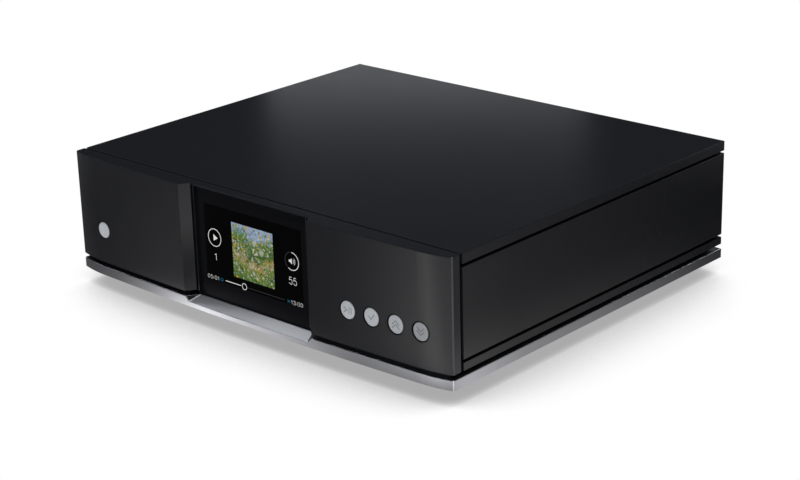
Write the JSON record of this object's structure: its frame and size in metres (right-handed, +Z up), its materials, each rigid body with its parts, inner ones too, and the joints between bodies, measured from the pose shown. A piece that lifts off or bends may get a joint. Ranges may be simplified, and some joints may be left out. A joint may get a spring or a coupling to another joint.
{
  "type": "network music streamer",
  "caption": "Network music streamer: flat black case on a bowed silver base plate, bevelled front with a display and round push buttons, connectors at the rear.",
  "frame": {"origin": "middle of the plan of the bounding box, on the plane that the feet stand on", "axes": "+X to the right seen from the front, the display faces -Y, +Z up"},
  "size_m": [0.34, 0.3052, 0.096],
  "materials": {
    "black_anodised": "satin black anodised",
    "silver_anodised": "fine brushed, clear anodised",
    "button_silver": "spun, clear anodised",
    "tinted_glass": "polished, tinted",
    "screen": "smooth",
    "black_rubber": "matt",
    "green_board": "solder mask",
    "black_plastic": "moulded",
    "chip_black": "moulded epoxy",
    "screw_steel": "black zinc plated",
    "plain_steel": "zinc plated",
    "tin_plate": "tin plated sheet",
    "nickel": "nickel plated",
    "gold_brass": "gold plated",
    "black_heatsink": "black anodised extrusion",
    "capacitor_sleeve": "shrink sleeve",
    "wound_steel": "wound and taped",
    "clear_fuse": "glass tube with plated caps",
    "grey_ribbon": "moulded flat cable",
    "wire_sleeve": "insulated wire"
  },
  "bodies": {
    "case": {"base_plate": "silver_anodised", "plinth_plate": "black_anodised", "chassis_base": "black_anodised", "side_strips": "black_anodised", "left_side_panel": "black_anodised", "right_side_panel": "black_anodised", "top_cover": "black_anodised", "front_panel": "black_anodised", "front_carrier": "black_anodised", "display_hood": "black_anodised", "display_glass": "tinted_glass", "display_gasket": "black_rubber", "screen_module": "screen", "display_board": "green_board", "key_boards": "green_board", "key_switches": "chip_black", "corner_posts": "plain_steel", "tie_bolts": "screw_steel", "rear_panel": "black_anodised", "mains_inlet": "black_plastic", "connector_pins": "nickel", "switch_frame": "black_plastic", "earth_post": "nickel", "ethernet_socket": "tin_plate", "usb_sockets": "tin_plate", "link_socket": "tin_plate", "digital_plug": "nickel", "coax_jack": "gold_brass", "optical_socket": "black_plastic", "aerial_jacks": "gold_brass", "main_board": "green_board", "power_board": "green_board", "board_pillars": "plain_steel", "chip_packages": "chip_black", "processor_heatsink": "black_heatsink", "shield_cans": "tin_plate", "filter_capacitors": "capacitor_sleeve", "regulator_heatsink": "black_heatsink", "partition_wall": "plain_steel", "toroid_transformers": "wound_steel", "transformer_clamps": "plain_steel", "transformer_pads": "black_rubber", "transformer_bolts": "screw_steel", "ribbon_cable": "grey_ribbon", "mains_wires": "wire_sleeve", "machine_screws": "screw_steel", "feet": "black_anodised", "foot_pads": "black_rubber", "foot_screws": "screw_steel"},
    "power_button": {"power_button": "button_silver"},
    "play_button": {"play_button": "button_silver"},
    "confirm_button": {"confirm_button": "button_silver"},
    "up_button": {"up_button": "button_silver"},
    "down_button": {"down_button": "button_silver"},
    "rocker": {"mains_rocker": "black_plastic"},
    "fuse_drawer": {"fuse_drawer": "black_plastic", "mains_fuse": "clear_fuse"},
    "shutter": {"optical_shutter": "black_plastic"},
    "knob": {"earth_knob": "black_plastic"}
  },
  "joints": [
    {"name": "power_press", "type": "slide", "parent": "case", "child": "power_button", "axis": [0, 1, 0], "range_m": [0, 0.0008], "stiffness_N_per_m": 1000, "springref_m": -0.001},
    {"name": "play_press", "type": "slide", "parent": "case", "child": "play_button", "axis": [0, 1, 0], "range_m": [0, 0.0008], "stiffness_N_per_m": 1000, "springref_m": -0.001},
    {"name": "confirm_press", "type": "slide", "parent": "case", "child": "confirm_button", "axis": [0, 1, 0], "range_m": [0, 0.0008], "stiffness_N_per_m": 1000, "springref_m": -0.001},
    {"name": "up_press", "type": "slide", "parent": "case", "child": "up_button", "axis": [0, 1, 0], "range_m": [0, 0.0008], "stiffness_N_per_m": 1000, "springref_m": -0.001},
    {"name": "down_press", "type": "slide", "parent": "case", "child": "down_button", "axis": [0, 1, 0], "range_m": [0, 0.0008], "stiffness_N_per_m": 1000, "springref_m": -0.001},
    {"name": "rocker_tip", "type": "hinge", "parent": "case", "child": "rocker", "pos_m": [-0.082, 0.13659, 0.0573], "axis": [1, 0, 0], "range_deg": [0, 18]},
    {"name": "fuse_drawer_slide", "type": "slide", "parent": "case", "child": "fuse_drawer", "axis": [0, 1, 0], "range_m": [0, 0.009]},
    {"name": "shutter_swing", "type": "hinge", "parent": "case", "child": "shutter", "pos_m": [0.134, 0.13809, 0.04395], "axis": [1, 0, 0], "range_deg": [-80, 0], "stiffness_Nm_per_rad": 0.0002, "springref_deg": 22.92},
    {"name": "knob_turn", "type": "hinge", "parent": "case", "child": "knob", "pos_m": [-0.056, 0.14659, 0.0463], "axis": [0, -1, 0], "range_deg": [0, 1028]}
  ]
}
